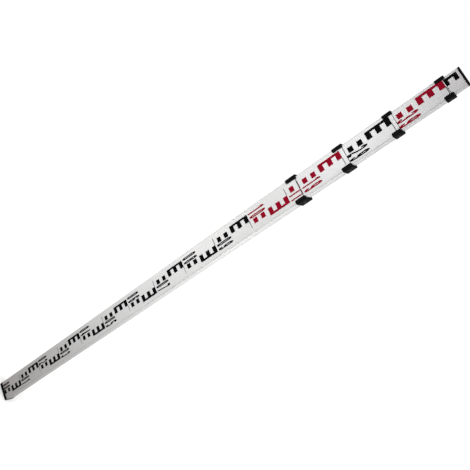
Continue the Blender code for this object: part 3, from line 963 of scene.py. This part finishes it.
def make_cap():
    lo, hi = CAP
    fw, fd = hi.x, hi.y
    hw, hd = half_width(5), half_depth(5)
    z0 = TUBE[5][1].z + GAP
    z1 = hi.z
    r = CORNER + (fw - hw)
    pw, pd = hw - WALL - GAP, hd - WALL - GAP
    plug = lo.z
    layers = [(plug, rounded(pw - 0.5 * MM, pd - 0.5 * MM, 1.0 * MM, 0, 12)),
              (plug + 1.5 * MM, rounded(pw, pd, CORNER - WALL, 0, 12)),
              (z0 - 0.0005 * MM, rounded(pw, pd, CORNER - WALL, 0, 12))]
    b = 0.3 * MM
    for k in range(4):
        a = math.radians(90.0 * k / 3)
        i = b * (1 - math.sin(a))
        layers.append((z0 + b * (1 - math.cos(a)), rounded(fw - i, fd - i, r - i, 0, 12)))
    e = 1.0 * MM
    for k in range(7):
        a = math.radians(90.0 * k / 6)
        i = e * (1 - math.cos(a))
        layers.append((z1 - e * (1 - math.sin(a)), rounded(fw - i, fd - i, r - i, 0, 12)))
    # shallow dished panel on top, inside a rim
    rim = 2.6 * MM
    layers.append((z1, rounded(fw - rim, fd - rim, r - 0.9 * MM, 0, 12)))
    layers.append((z1 - 0.12 * MM, rounded(fw - rim - 0.15 * MM, fd - rim - 0.15 * MM,
                                           r - 1.0 * MM, 0, 12)))
    layers.append((z1 - 0.35 * MM, rounded(fw - rim - 0.45 * MM, fd - rim - 0.45 * MM,
                                           r - 1.3 * MM, 0, 12)))
    cap = new_object("cap_lid", *loft(stack(layers)), COLLAR_PLASTIC, smooth=None)
    inner = rounded(pw - 1.8 * MM, pd - 1.8 * MM, 0.8 * MM, 0, 6)
    carve(cap, [loft(stack([(plug - 5 * MM, inner), (z0 - 1.5 * MM, inner)]))])
    tidy(cap)
    shade(cap, 30.0)
    place(cap, "section_5", "collar_plastic", "top_cap")


# ------------------------------------------------------ shoes, locks, springs


def make_shoe(n):
    lo, hi = SHOE[n]
    hw, hd = half_width(n), half_depth(n)
    z0 = TUBE[n][0].z
    bw, bd = hw - WALL - GAP, hd - WALL - GAP
    fw, fd = hi.x, hi.y
    zf = z0 - GAP
    zb, zt = lo.z, hi.z
    layers = [(zb, rounded(fw - 0.6 * MM, fd - 0.3 * MM, 1.4 * MM, 0, 8)),
              (zb + 0.25 * MM, rounded(fw - 0.22 * MM, fd - 0.1 * MM, 1.5 * MM, 0, 8)),
              (zb + 0.6 * MM, rounded(fw, fd, 1.6 * MM, 0, 8)),
              (zf - 0.25 * MM, rounded(fw, fd, 1.6 * MM, 0, 8)),
              (zf - 0.05 * MM, rounded(fw - 0.1 * MM, fd - 0.1 * MM, 1.5 * MM, 0, 8)),
              (zf, rounded(bw, bd, CORNER - WALL, 0, 8)),
              (zt - 1.0 * MM, rounded(bw, bd, CORNER - WALL, 0, 8)),
              (zt - 0.3 * MM, rounded(bw - 0.18 * MM, bd - 0.18 * MM, 1.3 * MM, 0, 8)),
              (zt, rounded(bw - 0.5 * MM, bd - 0.5 * MM, 1.1 * MM, 0, 8))]
    shoe = new_object("shoe_%d" % n, *loft(stack(layers)), SHOE_PLASTIC, smooth=None)
    boss = (5.7 + 0.3 + 1.6) * MM
    shapes = []
    for s in (-1, 1):
        xa, xb = sorted((s * boss, s * (bw - 2.0 * MM)))
        pocket = rounded((xb - xa) / 2, bd - 2.0 * MM, 0.8 * MM, 0, 5, (xa + xb) / 2)
        shapes.append(loft(stack([(z0 + 1.5 * MM, pocket), (zt + 5 * MM, pocket)])))
    yi = hd - WALL
    zc = mid(BUTTON[n]).z
    shapes.append(turned([(-9.0 * MM, 6.0 * MM), (5 * MM, 6.0 * MM)], (0, yi, zc),
                         (0, 1, 0), 48))
    carve(shoe, shapes)
    soften(shoe, 0.2 * MM, 2, 40.0)
    place(shoe, "section_%d" % n, "shoe_plastic", "guide_shoe_%d" % n)

    # button: boss, flange, shank and a domed crown with two finger rings
    lo, hi = BUTTON[n]
    a0, a1 = lo.y - yi, hi.y - yi
    r = 4.5 * MM
    fl = -3.4 * MM
    prof = [(a0, 0.0), (a0, 1.55 * MM), (a0 + 0.12 * MM, 1.85 * MM), (a0 + 0.4 * MM, 2.0 * MM),
            (fl - 1.5 * MM - 0.001 * MM, 2.0 * MM), (fl - 1.5 * MM, 5.45 * MM),
            (fl - 1.35 * MM, 5.7 * MM), (fl - 0.15 * MM, 5.7 * MM), (fl, 5.5 * MM),
            (fl + 0.001 * MM, r + 0.001 * MM)]
    top = a1
    prof += [(top - 1.1 * MM, r), (top - 0.85 * MM, r - 0.05 * MM),
             (top - 0.62 * MM, r - 0.18 * MM), (top - 0.43 * MM, r - 0.4 * MM),
             (top - 0.28 * MM, r - 0.75 * MM), (top - 0.2 * MM, r - 1.1 * MM),
             (top - 0.32 * MM, r - 1.25 * MM), (top - 0.32 * MM, r - 1.45 * MM),
             (top - 0.13 * MM, r - 1.6 * MM), (top - 0.06 * MM, r - 2.1 * MM),
             (top - 0.2 * MM, r - 2.25 * MM), (top - 0.2 * MM, r - 2.45 * MM),
             (top - 0.03 * MM, r - 2.6 * MM), (top, r - 3.4 * MM), (top, 0.0)]
    button = new_object("button_%d" % n, *turned(prof, (0, yi, zc), (0, 1, 0), 64),
                        BUTTON_PLASTIC)
    place(button, "lock_button_%d" % n, "button_plastic", "lock_button_%d" % n)

    # coil: round wire, closed flat end turns
    lo, hi = SPRING[n]
    wire = 0.32 * MM
    R = 3.2 * MM
    ya, yb = lo.y + wire, hi.y - wire
    turns, per = 4.5, 40
    count = int(turns * per) + 1
    ring = 12
    layers = []
    for k in range(count):
        t = k / (count - 1)
        a = 2 * math.pi * turns * t
        # the pitch eases off in the first and last turn
        u = min(max((t - 0.10) / 0.80, 0.0), 1.0)
        rise = 0.16 * min(t / 0.10, 1.0) + 0.68 * u + 0.16 * min(max((t - 0.90) / 0.10, 0.0), 1.0)
        c = Vector((R * math.cos(a), ya + (yb - ya) * rise, zc + R * math.sin(a)))
        radial = Vector((math.cos(a), 0, math.sin(a)))
        axial = Vector((0, 1, 0))
        layers.append([tuple(c + wire * (radial * math.cos(2 * math.pi * j / ring)
                                         + axial * math.sin(2 * math.pi * j / ring)))
                       for j in range(ring)])
    spring = new_object("spring_%d" % n, *loft(layers), SPRING_STEEL)
    bm = bmesh.new()
    bm.from_mesh(spring.data)
    bmesh.ops.recalc_face_normals(bm, faces=bm.faces)
    bm.to_mesh(spring.data)
    bm.free()
    shade(spring, 40.0)
    place(spring, "section_%d" % n, "spring_steel", "lock_spring_%d" % n)
    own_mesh(spring)


for number in SECTIONS:
    make_tube(number)
    make_print(number)
for number in (1, 2, 3, 4):
    make_collar(number)
    make_pins(number)
make_foot()
make_cap()
for number in (2, 3, 4, 5):
    make_shoe(number)

# --------------------------------------------------------------------- studio

scene = bpy.context.scene


def floor_material():
    g = Graph("studio_floor")
    soft = g.noise(1.3, 2.0, 0.5)
    g.set(Base_Color=g.mix(soft, (0.95, 0.95, 0.95), (0.98, 0.98, 0.98)), Roughness=0.9)
    g.shader.inputs["Specular IOR Level"].default_value = 0.1
    return g.mat


size = 30.0
floor = new_object("studio_floor", [(-size, -size, 0), (size, -size, 0), (size, size, 0),
                                    (-size, size, 0)], [(0, 1, 2, 3)], floor_material(),
                   smooth=None)
floor.location.z = -0.0002


def area(name, at, to, w, h, watts, colour=(1, 1, 1), spread=180.0):
    light = bpy.data.lights.new(name, "AREA")
    light.shape = "RECTANGLE"
    light.size, light.size_y = w, h
    light.energy = watts
    light.color = colour
    light.spread = math.radians(spread)
    obj = bpy.data.objects.new(name, light)
    scene.collection.objects.link(obj)
    obj.location = at
    obj.rotation_euler = (Vector(to) - Vector(at)).to_track_quat("-Z", "Y").to_euler()
    obj.visible_camera = False
    return obj


def sun(name, direction, strength, angle=40.0):
    light = bpy.data.lights.new(name, "SUN")
    light.energy = strength
    light.angle = math.radians(angle)
    obj = bpy.data.objects.new(name, light)
    scene.collection.objects.link(obj)
    obj.rotation_euler = Vector(direction).to_track_quat("-Z", "Y").to_euler()
    return obj


area("key_low", (-0.35, -0.80, 0.62), (0, 0, 0.62), 0.35, 0.35, 1.7, spread=80.0)
area("key_high", (-0.35, -0.80, 1.27), (0, 0, 1.27), 0.35, 0.35, 1.86, spread=90.0)
area("side_low", (0.90, 0.25, 0.80), (0, 0, 0.80), 0.40, 0.40, 2.8, spread=90.0)
area("side_high", (0.60, 0.15, 1.40), (0, 0, 1.40), 0.35, 0.35, 2.6)
# these reach only what stands above the rod's present height when it is drawn out
for height in (2.95, 4.35):
    area("tall_front_%d" % height, (-1.0, -2.6, height), (0, 0, height), 0.4, 0.4, 5.0,
         spread=50.0)
    area("tall_back_%d" % height, (1.3, 2.4, height), (0, 0, height), 0.4, 0.4, 3.2,
         spread=50.0)
sun("overhead", (0.0, 0.02, -1.0), 2.65, 20.0)

world = bpy.data.worlds.new("studio")
world.use_nodes = True
nodes, links = world.node_tree.nodes, world.node_tree.links
nodes.clear()
w_out = nodes.new("ShaderNodeOutputWorld")
w_mix = nodes.new("ShaderNodeMixShader")
seen = nodes.new("ShaderNodeBackground")
cast = nodes.new("ShaderNodeBackground")
path = nodes.new("ShaderNodeLightPath")
seen.inputs["Color"].default_value = (1.0, 1.0, 1.0, 1)
seen.inputs["Strength"].default_value = 1.0
cast.inputs["Color"].default_value = (1.0, 1.0, 1.0, 1)
cast.inputs["Strength"].default_value = 0.24
links.new(path.outputs["Is Camera Ray"], w_mix.inputs[0])
links.new(cast.outputs[0], w_mix.inputs[1])
links.new(seen.outputs[0], w_mix.inputs[2])
links.new(w_mix.outputs[0], w_out.inputs["Surface"])
scene.world = world

scene.view_settings.view_transform = "Standard"
scene.view_settings.look = "None"
scene.view_settings.exposure = 0.0
scene.view_settings.gamma = 1.0

# --------------------------------------------------------------------- camera

CAM_AT = (0.3200379, -0.91514935, 1.47989009)
CAM_RIGHT = (0.40412403, 0.56063531, 0.72275295)
CAM_DOWN = (0.86826493, 0.01344871, -0.49591848)
CAM_LENS = 520.0 / 470.0 * 36.0

cam_data = bpy.data.cameras.new("camera")
cam_data.sensor_fit = "HORIZONTAL"
cam_data.sensor_width = 36.0
cam_data.lens = CAM_LENS
cam_data.clip_start = 0.01
cam_data.clip_end = 200.0
camera = bpy.data.objects.new("camera", cam_data)
scene.collection.objects.link(camera)
right = Vector(CAM_RIGHT).normalized()
up = -Vector(CAM_DOWN)
up = (up - right * up.dot(right)).normalized()
back = right.cross(up)
camera.matrix_world = Matrix((
    (right.x, up.x, back.x, CAM_AT[0]),
    (right.y, up.y, back.y, CAM_AT[1]),
    (right.z, up.z, back.z, CAM_AT[2]),
    (0, 0, 0, 1)))
scene.camera = camera
